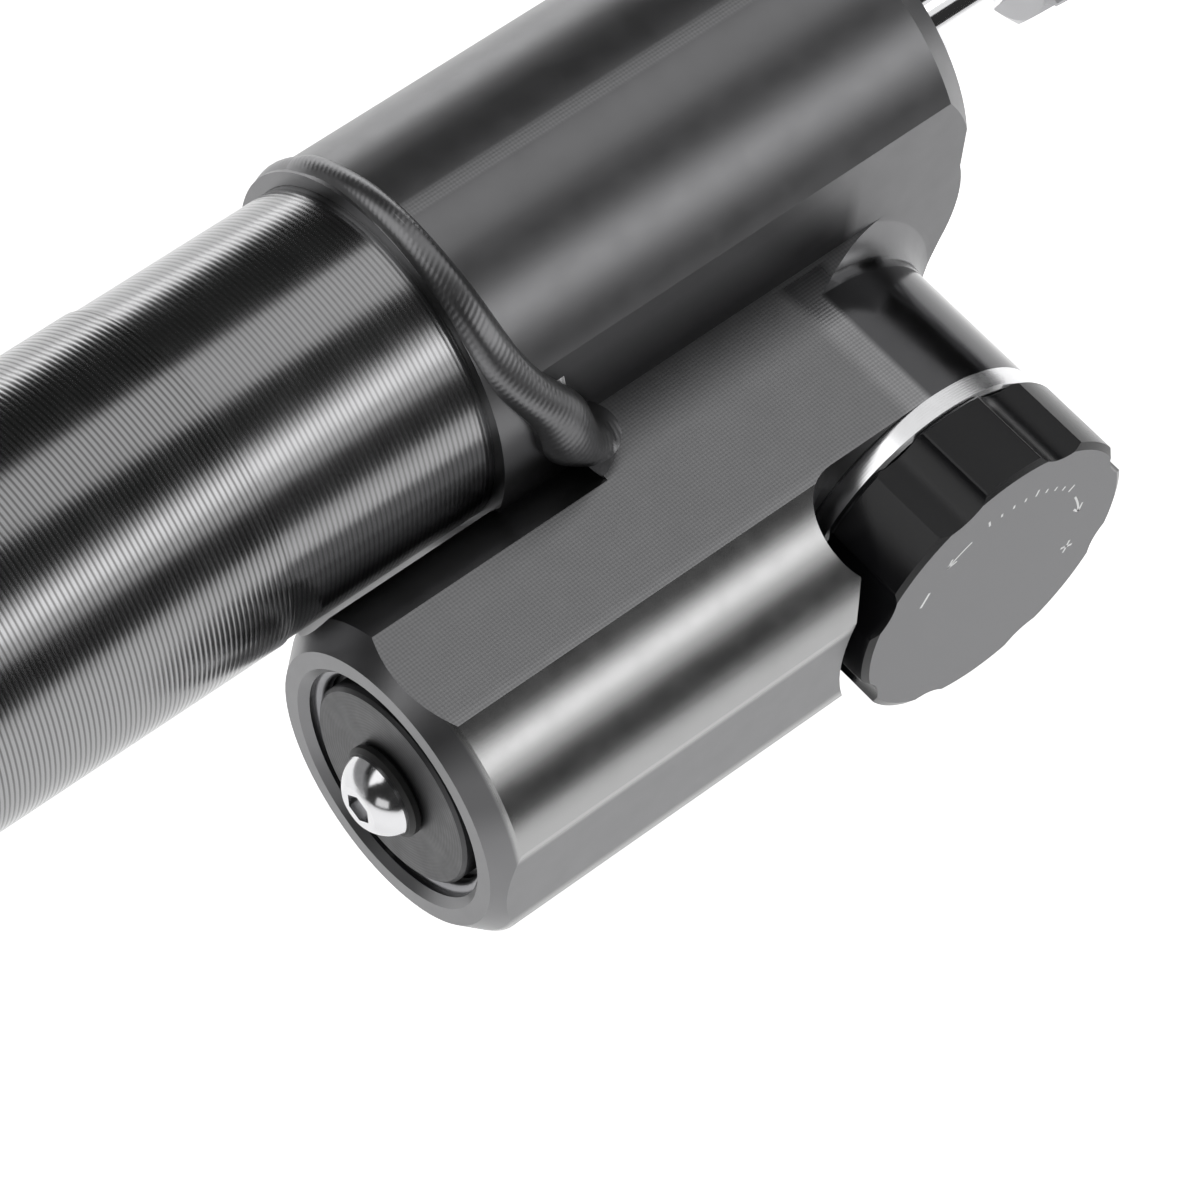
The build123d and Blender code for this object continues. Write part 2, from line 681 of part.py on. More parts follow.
# Floating piston between oil and gas
FLOAT_X = RES_STEP_X + 1.6
FLOAT_T = 8.0
FLOAT_SEAL_FLOOR_R = RES_BORE_R - 1.8
FLOAT_CUP_R = RES_BORE_R - 3.4
with BuildPart() as floating_piston:
    revolve(
        outline(
            [
                (FLOAT_X, RES_BORE_R - 1.4),
                (FLOAT_X, RES_BORE_R - SLIDE_GAP - 0.3),
                (FLOAT_X + 0.3, RES_BORE_R - SLIDE_GAP),
                (FLOAT_X + FLOAT_T / 2 - SEAL_SLOT_W / 2, RES_BORE_R - SLIDE_GAP),
                (FLOAT_X + FLOAT_T / 2 - SEAL_SLOT_W / 2, FLOAT_SEAL_FLOOR_R),
                (FLOAT_X + FLOAT_T / 2 + SEAL_SLOT_W / 2, FLOAT_SEAL_FLOOR_R),
                (FLOAT_X + FLOAT_T / 2 + SEAL_SLOT_W / 2, RES_BORE_R - SLIDE_GAP),
                (FLOAT_X + FLOAT_T - 0.3, RES_BORE_R - SLIDE_GAP),
                (FLOAT_X + FLOAT_T, RES_BORE_R - SLIDE_GAP - 0.3),
                (FLOAT_X + FLOAT_T, 0),
                (FLOAT_X + FLOAT_T / 2, 0),
                (FLOAT_X + FLOAT_T / 2, FLOAT_CUP_R),
                (FLOAT_X, FLOAT_CUP_R),
            ],
            RES,
        ),
        axis=RES_AXIS,
    )
put(floating_piston, "floating_piston")

with BuildPart() as floating_o_ring:
    revolve(cord(FLOAT_X + FLOAT_T / 2, FLOAT_SEAL_FLOOR_R, RES_BORE_R, RES), axis=RES_AXIS)
put(floating_o_ring, "floating_o_ring")

# Valve seat at the bottom of the valve bore
SEAT_V1 = VALVE_FLOOR_V + SEAT_T
SEAT_CONE = 1.0
SEAT_CONE_R = 2.6
with BuildPart() as valve_seat:
    revolve(
        outline(
            [
                (VALVE_FLOOR_V, SEAT_BORE_R),
                (VALVE_FLOOR_V, VALVE_BORE_R - STATIC_GAP),
                (SEAT_V1, VALVE_BORE_R - STATIC_GAP),
                (SEAT_V1, SEAT_CONE_R),
                (SEAT_V1 - SEAT_CONE, SEAT_BORE_R),
            ],
            VALVE,
        ),
        axis=VALVE_AXIS,
    )
put(valve_seat, "valve_seat")

# Valve cartridge: needle bore, wider journal bore and a flange that clamps the collar
COLLAR_SINK = 1.0
CARTRIDGE_FLANGE_R = VALVE_BORE_R + 3.0
WAIST_V0 = SEAT_V1 + 0.8
WAIST_V1 = 18.5
WAIST_R = VALVE_BORE_R - 1.1
NEEDLE_R = 4.0
NEEDLE_BORE_V0 = SEAT_V1 + 2.6
JOURNAL_V0 = BOSS_V - 9.0
JOURNAL_TAIL_V = JOURNAL_V0 + 1.3
NEEDLE_BACK_V = JOURNAL_V0 + 0.4
TAIL_V0 = NEEDLE_BACK_V - 5.8
JOURNAL_R = 5.0
CART_SEAL_V = BOSS_V - 5.0
CART_SEAL_W = 1.4
CART_SEAL_FLOOR_R = VALVE_BORE_R - 1.0
COLLAR_V0 = BOSS_V
COLLAR_V1 = BOSS_V + COLLAR_T
SPIN_CLIP_V = COLLAR_V1 - 1.9
SPIN_CLIP_T = 0.8
SPIN_CLIP_R = JOURNAL_R + 0.6
SPIN_CLIP_GAP = 2.4
CROSS_R = 0.8
CART_MOUTH_R = NEEDLE_R + 0.6
FLANGE_V0 = COLLAR_V1 - COLLAR_SINK
with BuildPart() as valve_cartridge:
    revolve(
        outline(
            [
                (SEAT_V1, CART_MOUTH_R),
                (SEAT_V1, VALVE_BORE_R - STATIC_GAP),
                (WAIST_V0, VALVE_BORE_R - STATIC_GAP),
                (WAIST_V0, WAIST_R),
                (WAIST_V1, WAIST_R),
                (WAIST_V1, VALVE_BORE_R - STATIC_GAP),
                (CART_SEAL_V - CART_SEAL_W / 2, VALVE_BORE_R - STATIC_GAP),
                (CART_SEAL_V - CART_SEAL_W / 2, CART_SEAL_FLOOR_R),
                (CART_SEAL_V + CART_SEAL_W / 2, CART_SEAL_FLOOR_R),
                (CART_SEAL_V + CART_SEAL_W / 2, VALVE_BORE_R - STATIC_GAP),
                (FLANGE_V0, VALVE_BORE_R - STATIC_GAP),
                (FLANGE_V0, CARTRIDGE_FLANGE_R - STATIC_GAP),
                (COLLAR_V1 - FACE_GAP, CARTRIDGE_FLANGE_R - STATIC_GAP),
                (COLLAR_V1 - FACE_GAP, JOURNAL_R + SLIDE_GAP),
                (SPIN_CLIP_V + SPIN_CLIP_T + STATIC_GAP, JOURNAL_R + SLIDE_GAP),
                (SPIN_CLIP_V + SPIN_CLIP_T + STATIC_GAP, SPIN_CLIP_R),
                (SPIN_CLIP_V - STATIC_GAP, SPIN_CLIP_R),
                (SPIN_CLIP_V - STATIC_GAP, JOURNAL_R + SLIDE_GAP),
                (JOURNAL_V0, JOURNAL_R + SLIDE_GAP),
                (JOURNAL_V0, NEEDLE_R + SLIDE_GAP),
                (NEEDLE_BORE_V0, NEEDLE_R + SLIDE_GAP),
                (NEEDLE_BORE_V0, CART_MOUTH_R),
            ],
            VALVE,
        ),
        axis=VALVE_AXIS,
    )
    with BuildSketch(Plane.XY.offset(KNOB_Z)):
        with Locations((KNOB_X, -(WAIST_V0 + NEEDLE_BORE_V0) / 2)):
            Circle(CROSS_R)
    extrude(amount=WAIST_R + 1, both=True, mode=Mode.SUBTRACT)
put(valve_cartridge, "valve_cartridge")

with BuildPart() as cartridge_o_ring:
    revolve(cord(CART_SEAL_V, CART_SEAL_FLOOR_R, VALVE_BORE_R, VALVE), axis=VALVE_AXIS)
put(cartridge_o_ring, "cartridge_o_ring")

# Bright detent collar on the boss face, with a ball track in its outer side
BALL_DET_R = 1.0
TRACK_PCR = 11.6
BALL_V = COLLAR_V1 + 0.65
COLLAR_EDGE = 0.3
COLLAR_BORE_R = VALVE_BORE_R + STATIC_GAP
TRACK_DEPTH = 0.85
CLICKS = 20
DIMPLE_R = 0.4
DIMPLE_DEPTH = 1.0
with BuildPart() as detent_collar:
    revolve(
        outline(
            [
                (COLLAR_V0, COLLAR_BORE_R),
                (COLLAR_V0, BOSS_R),
                (COLLAR_V1 - COLLAR_EDGE, BOSS_R),
                (COLLAR_V1, BOSS_R - COLLAR_EDGE),
                (COLLAR_V1, CARTRIDGE_FLANGE_R),
                (FLANGE_V0, CARTRIDGE_FLANGE_R),
                (FLANGE_V0, COLLAR_BORE_R),
            ],
            VALVE,
        ),
        axis=VALVE_AXIS,
    )
    revolve(
        outline(
            [
                (COLLAR_V1, TRACK_PCR - TRACK_DEPTH),
                (COLLAR_V1 - TRACK_DEPTH, TRACK_PCR),
                (COLLAR_V1, TRACK_PCR + TRACK_DEPTH),
            ],
            VALVE,
        ),
        axis=VALVE_AXIS,
        mode=Mode.SUBTRACT,
    )
    with BuildSketch(Plane.XZ.offset(COLLAR_V1 - DIMPLE_DEPTH)):
        with Locations((KNOB_X, KNOB_Z)):
            with PolarLocations(TRACK_PCR, CLICKS):
                RegularPolygon(DIMPLE_R, 6)
    extrude(amount=DIMPLE_DEPTH, mode=Mode.SUBTRACT)
put(detent_collar, "detent_collar")

# Knob with scooped flutes, blind over the spindle
KNOB_V0 = COLLAR_V1 + FACE_GAP
KNOB_V1 = KNOB_V0 + KNOB_T
STUB_R = JOURNAL_R - 1.5
STUB_V1 = KNOB_V1 - 1.2
GRUB_R = 1.5
GRUB_ANGLE = FLUTE_PHASE + 225.0
GRUB_V = KNOB_V0 + KNOB_T / 2
LOBE_ANGLE = FLUTE_PHASE + 180.0 / FLUTES
DET_HOLE_R = BALL_DET_R + SLIDE_GAP
DET_HOLE_DEPTH = 5.4
DET_HOLE_V1 = KNOB_V0 + DET_HOLE_DEPTH
GRUB_PLANE = Plane(
    origin=(KNOB_X, -GRUB_V, KNOB_Z),
    x_dir=(0, -1, 0),
    z_dir=(cos(radians(GRUB_ANGLE)), 0, sin(radians(GRUB_ANGLE))),
)
DET_X = KNOB_X + TRACK_PCR * cos(radians(LOBE_ANGLE))
DET_Z = KNOB_Z + TRACK_PCR * sin(radians(LOBE_ANGLE))
with BuildPart() as knob:
    with BuildSketch(Plane.XZ.offset(KNOB_V0)) as knob_outline:
        with Locations((KNOB_X, KNOB_Z)):
            Circle(KNOB_R)
            with PolarLocations(FLUTE_CENTRE_R, FLUTES, start_angle=FLUTE_PHASE):
                Circle(FLUTE_R, mode=Mode.SUBTRACT)
        fillet(knob_outline.vertices(), KNOB_CORNER_R)
    extrude(amount=KNOB_T)
    # Lobes turned down at both ends
    revolve(
        outline(
            [
                (KNOB_V1 - KNOB_BEVEL_V, KNOB_R),
                (KNOB_V1, KNOB_R - KNOB_BEVEL_R),
                (KNOB_V1 + 1, KNOB_R - KNOB_BEVEL_R),
                (KNOB_V1 + 1, KNOB_R + 1),
                (KNOB_V1 - KNOB_BEVEL_V, KNOB_R + 1),
            ],
            VALVE,
        ),
        axis=VALVE_AXIS,
        mode=Mode.SUBTRACT,
    )
    revolve(
        outline(
            [
                (KNOB_V0 + KNOB_BACK_EDGE, KNOB_R),
                (KNOB_V0, KNOB_R - KNOB_BACK_EDGE),
                (KNOB_V0 - 1, KNOB_R - KNOB_BACK_EDGE),
                (KNOB_V0 - 1, KNOB_R + 1),
                (KNOB_V0 + KNOB_BACK_EDGE, KNOB_R + 1),
            ],
            VALVE,
        ),
        axis=VALVE_AXIS,
        mode=Mode.SUBTRACT,
    )
    revolve(
        bar(KNOB_V0 - 1, STUB_V1 + FACE_GAP, STUB_R + STATIC_GAP, VALVE),
        axis=VALVE_AXIS,
        mode=Mode.SUBTRACT,
    )
    with BuildSketch(GRUB_PLANE):
        Circle(GRUB_R + STATIC_GAP)
    extrude(amount=KNOB_R, mode=Mode.SUBTRACT)
    with BuildSketch(Plane.XZ.offset(KNOB_V0 - 1)):
        with Locations((DET_X, DET_Z)):
            Circle(DET_HOLE_R)
    extrude(amount=DET_HOLE_V1 - KNOB_V0 + 1, mode=Mode.SUBTRACT)
put(knob, "knob")

GRUB_TIP = STUB_R
GRUB_LEN = 6.0
with BuildPart() as knob_grub_screw:
    with BuildSketch(GRUB_PLANE.offset(GRUB_TIP)):
        Circle(GRUB_R)
    extrude(amount=GRUB_LEN)
    chamfer(knob_grub_screw.edges().filter_by(GeomType.CIRCLE), 0.25)
    with BuildSketch(GRUB_PLANE.offset(GRUB_TIP + GRUB_LEN - 1.5)):
        RegularPolygon(0.75, 6, major_radius=False)
    extrude(amount=1.5, mode=Mode.SUBTRACT)
put(knob_grub_screw, "knob_grub_screw")

with BuildPart() as detent_ball:
    with Locations((DET_X, -BALL_V, DET_Z)):
        Sphere(BALL_DET_R)
put(detent_ball, "detent_ball")

SPRING_WIRE_R = 0.17
SPRING_COIL_R = BALL_DET_R - SPRING_WIRE_R - 0.08
SPRING_V0 = BALL_V + 0.9
SPRING_TURNS = 3
with BuildPart() as detent_spring:
    with BuildLine() as spring_path:
        Helix(
            pitch=(DET_HOLE_V1 - SPRING_V0 - 2 * SPRING_WIRE_R) / SPRING_TURNS,
            height=DET_HOLE_V1 - SPRING_V0 - 2 * SPRING_WIRE_R,
            radius=SPRING_COIL_R,
            center=(DET_X, -SPRING_V0 - SPRING_WIRE_R, DET_Z),
            direction=(0, -1, 0),
        )
    with BuildSketch(Plane(origin=spring_path.line @ 0, z_dir=spring_path.line % 0)):
        RegularPolygon(SPRING_WIRE_R, 4)
    sweep(path=spring_path.line, is_frenet=True)
put(detent_spring, "detent_spring")

# Spindle between knob and needle: stub, sealed journal and hexagonal tail
JOURNAL_V1 = SPIN_CLIP_V - STATIC_GAP
SPIN_SEAL_V = BOSS_V - 3.5
SPIN_SEAL_W = 2.0
SPIN_SEAL_FLOOR_R = JOURNAL_R - 1.4
TAIL_AF = 3.0
with BuildPart() as knob_spindle:
    revolve(
        outline(
            [
                (JOURNAL_TAIL_V, 0),
                (JOURNAL_TAIL_V, JOURNAL_R),
                (SPIN_SEAL_V - SPIN_SEAL_W / 2, JOURNAL_R),
                (SPIN_SEAL_V - SPIN_SEAL_W / 2, SPIN_SEAL_FLOOR_R),
                (SPIN_SEAL_V + SPIN_SEAL_W / 2, SPIN_SEAL_FLOOR_R),
                (SPIN_SEAL_V + SPIN_SEAL_W / 2, JOURNAL_R),
                (JOURNAL_V1, JOURNAL_R),
                (JOURNAL_V1, STUB_R),
                (STUB_V1 - 0.3, STUB_R),
                (STUB_V1, STUB_R - 0.3),
                (STUB_V1, 0),
            ],
            VALVE,
        ),
        axis=VALVE_AXIS,
    )
    with BuildSketch(Plane.XZ.offset(TAIL_V0)):
        with Locations((KNOB_X, KNOB_Z)):
            RegularPolygon(TAIL_AF / 2, 6, major_radius=False)
    extrude(amount=JOURNAL_TAIL_V - TAIL_V0 + 1)
put(knob_spindle, "knob_spindle")

with BuildPart() as spindle_o_ring:
    revolve(cord(SPIN_SEAL_V, SPIN_SEAL_FLOOR_R, JOURNAL_R + SLIDE_GAP, VALVE), axis=VALVE_AXIS)
put(spindle_o_ring, "spindle_o_ring")

with BuildPart() as spindle_clip:
    revolve(
        sleeve(SPIN_CLIP_V, SPIN_CLIP_V + SPIN_CLIP_T, STUB_R + 0.2, SPIN_CLIP_R - STATIC_GAP, VALVE),
        axis=VALVE_AXIS,
    )
    with BuildSketch(Plane.XZ.offset(SPIN_CLIP_V - 1)):
        with Locations((KNOB_X, KNOB_Z - SPIN_CLIP_R)):
            Rectangle(SPIN_CLIP_GAP, SPIN_CLIP_R)
    extrude(amount=SPIN_CLIP_T + 2, mode=Mode.SUBTRACT)
put(spindle_clip, "spindle_clip")

# Needle, drawn half open, screwed in and out by the spindle's hexagon
NEEDLE_TRAVEL = 0.55
NEEDLE_CONE_GAP = 0.1
NEEDLE_TIP_V = SEAT_V1 - SEAT_CONE
NEEDLE_SLOPE = (SEAT_CONE_R - SEAT_BORE_R) / SEAT_CONE
NEEDLE_CONE_V1 = SEAT_V1 + NEEDLE_TRAVEL
NEEDLE_STEM_R = SEAT_CONE_R - NEEDLE_CONE_GAP
NEEDLE_STEM_V1 = NEEDLE_CONE_V1 + 1.6
NEEDLE_TAPER = 0.8
with BuildPart() as needle_valve:
    revolve(
        outline(
            [
                (NEEDLE_TIP_V, 0),
                (NEEDLE_TIP_V, NEEDLE_STEM_R - NEEDLE_SLOPE * (NEEDLE_CONE_V1 - NEEDLE_TIP_V)),
                (NEEDLE_CONE_V1, NEEDLE_STEM_R),
                (NEEDLE_STEM_V1, NEEDLE_STEM_R),
                (NEEDLE_STEM_V1 + NEEDLE_TAPER, NEEDLE_R),
                (NEEDLE_BACK_V, NEEDLE_R),
                (NEEDLE_BACK_V, 0),
            ],
            VALVE,
        ),
        axis=VALVE_AXIS,
    )
    with BuildSketch(Plane.XZ.offset(TAIL_V0 - NEEDLE_TRAVEL - 0.3)):
        with Locations((KNOB_X, KNOB_Z)):
            RegularPolygon(TAIL_AF / 2 + 0.05, 6, major_radius=False)
    extrude(amount=NEEDLE_BACK_V - TAIL_V0 + 2, mode=Mode.SUBTRACT)
put(needle_valve, "needle_valve")

# Piston with its band, shims and nut
PISTON_FRONT_X = SHOULDER_X - SHIM_T
PISTON_BACK_X = PISTON_FRONT_X - PISTON_T
NUT_X = PISTON_BACK_X - SHIM_T
PILOT_END_X = NUT_X - PISTON_NUT_T - 1.0
BAND_X0 = PISTON_BACK_X + (PISTON_T - BAND_W) / 2
PISTON_HOLE_R = ROD_PILOT_R + STATIC_GAP
ORIFICE_R = 1.2
ORIFICES = 6
with BuildPart() as piston:
    revolve(
        outline(
            [
                (PISTON_BACK_X, PISTON_HOLE_R),
                (PISTON_BACK_X, PISTON_R - 0.5),
                (PISTON_BACK_X + 0.5, PISTON_R),
                (BAND_X0, PISTON_R),
                (BAND_X0, BAND_FLOOR_R),
                (BAND_X0 + BAND_W, BAND_FLOOR_R),
                (BAND_X0 + BAND_W, PISTON_R),
                (PISTON_FRONT_X - 0.5, PISTON_R),
                (PISTON_FRONT_X, PISTON_R - 0.5),
                (PISTON_FRONT_X, PISTON_HOLE_R),
            ],
            MAIN,
        ),
        axis=Axis.X,
    )
    with BuildSketch(Plane.YZ.offset(PISTON_BACK_X)):
        with PolarLocations((SHIM_R + ROD_R) / 2, ORIFICES):
            Circle(ORIFICE_R)
    extrude(amount=PISTON_T, mode=Mode.SUBTRACT)
put(piston, "piston")

with BuildPart() as piston_band:
    revolve(
        sleeve(
            BAND_X0 + SLIDE_GAP,
            BAND_X0 + BAND_W - SLIDE_GAP,
            BAND_FLOOR_R + SLIDE_GAP,
            TUBE_BORE_R - SLIDE_GAP,
            MAIN,
        ),
        axis=Axis.X,
    )
    with BuildSketch(Plane.XY):
        with Locations((BAND_X0 + BAND_W / 2, 0)):
            Rectangle(BAND_W, 0.6)
    extrude(amount=TUBE_BORE_R, mode=Mode.SUBTRACT)
put(piston_band, "piston_band")


def shim(x, name):
    """One spring shim against a face of the piston."""
    with BuildPart() as piece:
        revolve(sleeve(x, x + SHIM_T, PISTON_HOLE_R, SHIM_R, MAIN), axis=Axis.X)
    put(piece, name)


shim(PISTON_FRONT_X, "front_shim")
shim(NUT_X, "back_shim")


def hex_nut(x, thickness, across, hole_r, name):
    """Hexagon nut with both faces turned down at the corners."""
    corner = across / sqrt(3)
    drop = (corner - across / 2) * 0.7
    with BuildPart() as piece:
        with BuildSketch(Plane.YZ.offset(x)):
            RegularPolygon(across / 2, 6, major_radius=False)
        extrude(amount=thickness)
        for face_x, inward in ((x, 1), (x + thickness, -1)):
            revolve(
                outline(
                    [
                        (face_x, across / 2),
                        (face_x + inward * drop, corner + 0.01),
                        (face_x, corner + 0.01),
                    ],
                    MAIN,
                ),
                axis=Axis.X,
                mode=Mode.SUBTRACT,
            )
        revolve(bar(x - 1, x + thickness + 1, hole_r, MAIN), axis=Axis.X, mode=Mode.SUBTRACT)
    put(piece, name)


hex_nut(NUT_X - PISTON_NUT_T, PISTON_NUT_T, PISTON_NUT_AF, PISTON_HOLE_R, "piston_nut")

# Rod: threaded pilot, ground body and threaded outer end
with BuildPart() as piston_rod:
    revolve(
        outline(
            [
                (PILOT_END_X, 0),
                (PILOT_END_X, ROD_PILOT_R - 0.5),
                (PILOT_END_X + 0.5, ROD_PILOT_R),
                (SHOULDER_X, ROD_PILOT_R),
                (SHOULDER_X, ROD_R),
                (ROD_SHOULDER_X - 0.5, ROD_R),
                (ROD_SHOULDER_X, ROD_R - 0.5),
                (ROD_SHOULDER_X, ROD_THREAD_R),
                (ROD_TIP_X - 0.6, ROD_THREAD_R),
                (ROD_TIP_X, ROD_THREAD_R - 0.6),
                (ROD_TIP_X, 0),
            ],
            MAIN,
        ),
        axis=Axis.X,
    )
put(piston_rod, "piston_rod")

with BuildPart() as bump_rubber:
    revolve(
        sleeve(SHOULDER_X, SHOULDER_X + BUMPER_T, ROD_R + SLIDE_GAP, BUMPER_R, MAIN), axis=Axis.X
    )
    chamfer(bump_rubber.edges().filter_by(GeomType.CIRCLE).sort_by(SortBy.RADIUS)[-2:], 1.2)
put(bump_rubber, "bump_rubber")

hex_nut(JAM_NUT_X, JAM_NUT_T, JAM_NUT_AF, ROD_THREAD_R + STATIC_GAP, "jam_nut")

# Rod end: body, liner and ball
BODY_X0 = JAM_NUT_X + JAM_NUT_T
SHANK_HEX_L = 6.0
NECK_SINK = 1.6
NECK_TAPER = 4.6
NECK_X1 = EYE_X - EYE_R + NECK_SINK
SHANK_X1 = NECK_X1 - NECK_TAPER
NECK_R = EYE_T / 2 - 0.9
EYE_BORE_R = BALL_R + SLIDE_GAP + LINER_T + 0.2
THREAD_DEPTH = 18.0
with BuildPart() as rod_end_body:
    revolve(
        outline(
            [
                (BODY_X0, 0),
                (BODY_X0, SHANK_R),
                (SHANK_X1, SHANK_R),
                (NECK_X1, NECK_R),
                (NECK_X1, 0),
            ],
            MAIN,
        ),
        axis=Axis.X,
    )
    with BuildSketch(Plane.YZ.offset(BODY_X0)):
        RegularPolygon(SHANK_AF / 2, 6, major_radius=False)
    extrude(amount=SHANK_HEX_L)
    with BuildSketch(Plane.XY):
        with Locations((EYE_X, 0)):
            Circle(EYE_R)
    extrude(amount=EYE_T / 2, both=True)
    chamfer(rod_end_body.edges().filter_by(GeomType.CIRCLE).sort_by(SortBy.RADIUS)[-2:], 0.8)
    with BuildSketch(Plane.XY):
        with Locations((EYE_X, 0)):
            Circle(EYE_BORE_R)
    extrude(amount=EYE_T, both=True, mode=Mode.SUBTRACT)
    revolve(
        bar(BODY_X0 - 1, BODY_X0 + THREAD_DEPTH, ROD_THREAD_R + STATIC_GAP, MAIN),
        axis=Axis.X,
        mode=Mode.SUBTRACT,
    )
put(rod_end_body, "rod_end_body")

with BuildPart() as rod_end_liner:
    with BuildSketch(Plane.XY):
        with Locations((EYE_X, 0)):
            Circle(EYE_BORE_R - STATIC_GAP)
    extrude(amount=EYE_T / 2, both=True)
    with Locations((EYE_X, 0, 0)):
        Sphere(BALL_R + SLIDE_GAP, mode=Mode.SUBTRACT)
put(rod_end_liner, "rod_end_liner")

with BuildPart() as rod_end_ball:
    with Locations((EYE_X, 0, 0)):
        Sphere(BALL_R)
    with BuildSketch(Plane.XY.offset(-BALL_R)):
        with Locations((EYE_X, 0)):
            Circle(BALL_R + 1)
    extrude(amount=BALL_R - BALL_W / 2, mode=Mode.SUBTRACT)
    with BuildSketch(Plane.XY.offset(BALL_W / 2)):
        with Locations((EYE_X, 0)):
            Circle(BALL_R + 1)
    extrude(amount=BALL_R, mode=Mode.SUBTRACT)
    with BuildSketch(Plane.XY):
        with Locations((EYE_X, 0)):
            Circle(BALL_BORE_R)
    extrude(amount=BALL_W, both=True, mode=Mode.SUBTRACT)
put(rod_end_ball, "rod_end_ball")
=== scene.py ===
# Looks of the steering damper: finishes, knob marks, floor, lights and camera.
# Metres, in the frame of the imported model: X along the damper, Z up, the knob faces -Y.

import math

import bmesh
import bpy
from mathutils import Matrix, Vector

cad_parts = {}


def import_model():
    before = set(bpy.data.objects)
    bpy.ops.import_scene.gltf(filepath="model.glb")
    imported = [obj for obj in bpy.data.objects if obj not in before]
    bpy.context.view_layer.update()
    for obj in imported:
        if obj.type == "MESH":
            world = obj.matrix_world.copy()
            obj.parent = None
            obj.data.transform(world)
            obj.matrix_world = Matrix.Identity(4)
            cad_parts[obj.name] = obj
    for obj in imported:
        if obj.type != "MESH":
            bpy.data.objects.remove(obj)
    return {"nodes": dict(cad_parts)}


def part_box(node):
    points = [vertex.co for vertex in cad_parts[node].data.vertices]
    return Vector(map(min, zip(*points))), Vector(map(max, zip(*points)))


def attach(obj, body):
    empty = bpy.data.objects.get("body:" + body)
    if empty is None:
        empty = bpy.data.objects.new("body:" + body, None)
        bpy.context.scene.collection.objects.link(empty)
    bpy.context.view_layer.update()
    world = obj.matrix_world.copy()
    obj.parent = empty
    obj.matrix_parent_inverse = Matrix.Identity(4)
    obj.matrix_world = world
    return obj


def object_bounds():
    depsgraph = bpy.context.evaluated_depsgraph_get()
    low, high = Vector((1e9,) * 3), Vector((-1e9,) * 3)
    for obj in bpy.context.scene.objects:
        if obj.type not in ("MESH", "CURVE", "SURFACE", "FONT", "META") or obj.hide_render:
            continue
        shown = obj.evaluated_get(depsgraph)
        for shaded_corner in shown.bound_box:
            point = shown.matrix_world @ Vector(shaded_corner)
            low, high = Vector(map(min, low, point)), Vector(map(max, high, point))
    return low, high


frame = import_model()
NODES = frame["nodes"]
CAD_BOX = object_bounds()

MM = 0.001


def middle(node):
    """Centre of a CAD node's box."""
    low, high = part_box(node)
    return (Vector(low) + Vector(high)) / 2


def half(node, axis):
    """Half of a CAD node's box along one axis."""
    low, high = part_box(node)
    return (high[axis] - low[axis]) / 2


# Places read from the frame
TUBE_R = half("damper_tube", 2)
KNOB_AT = middle("knob")
KNOB_FACE_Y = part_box("knob")[0][1]
PLUG_AT = middle("reservoir_plug")
FLAT_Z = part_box("detent_collar")[1][2]
BOSS_R = half("detent_collar", 0)

# Sizes of the head, which its box doesn't give
HEAD_R = 17.1 * MM
RES_R = 15 * MM
WALL_Y = -14.6 * MM
TUBE_IN_HEAD = 8 * MM
MOUTH_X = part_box("damper_tube")[1][0] - TUBE_IN_HEAD


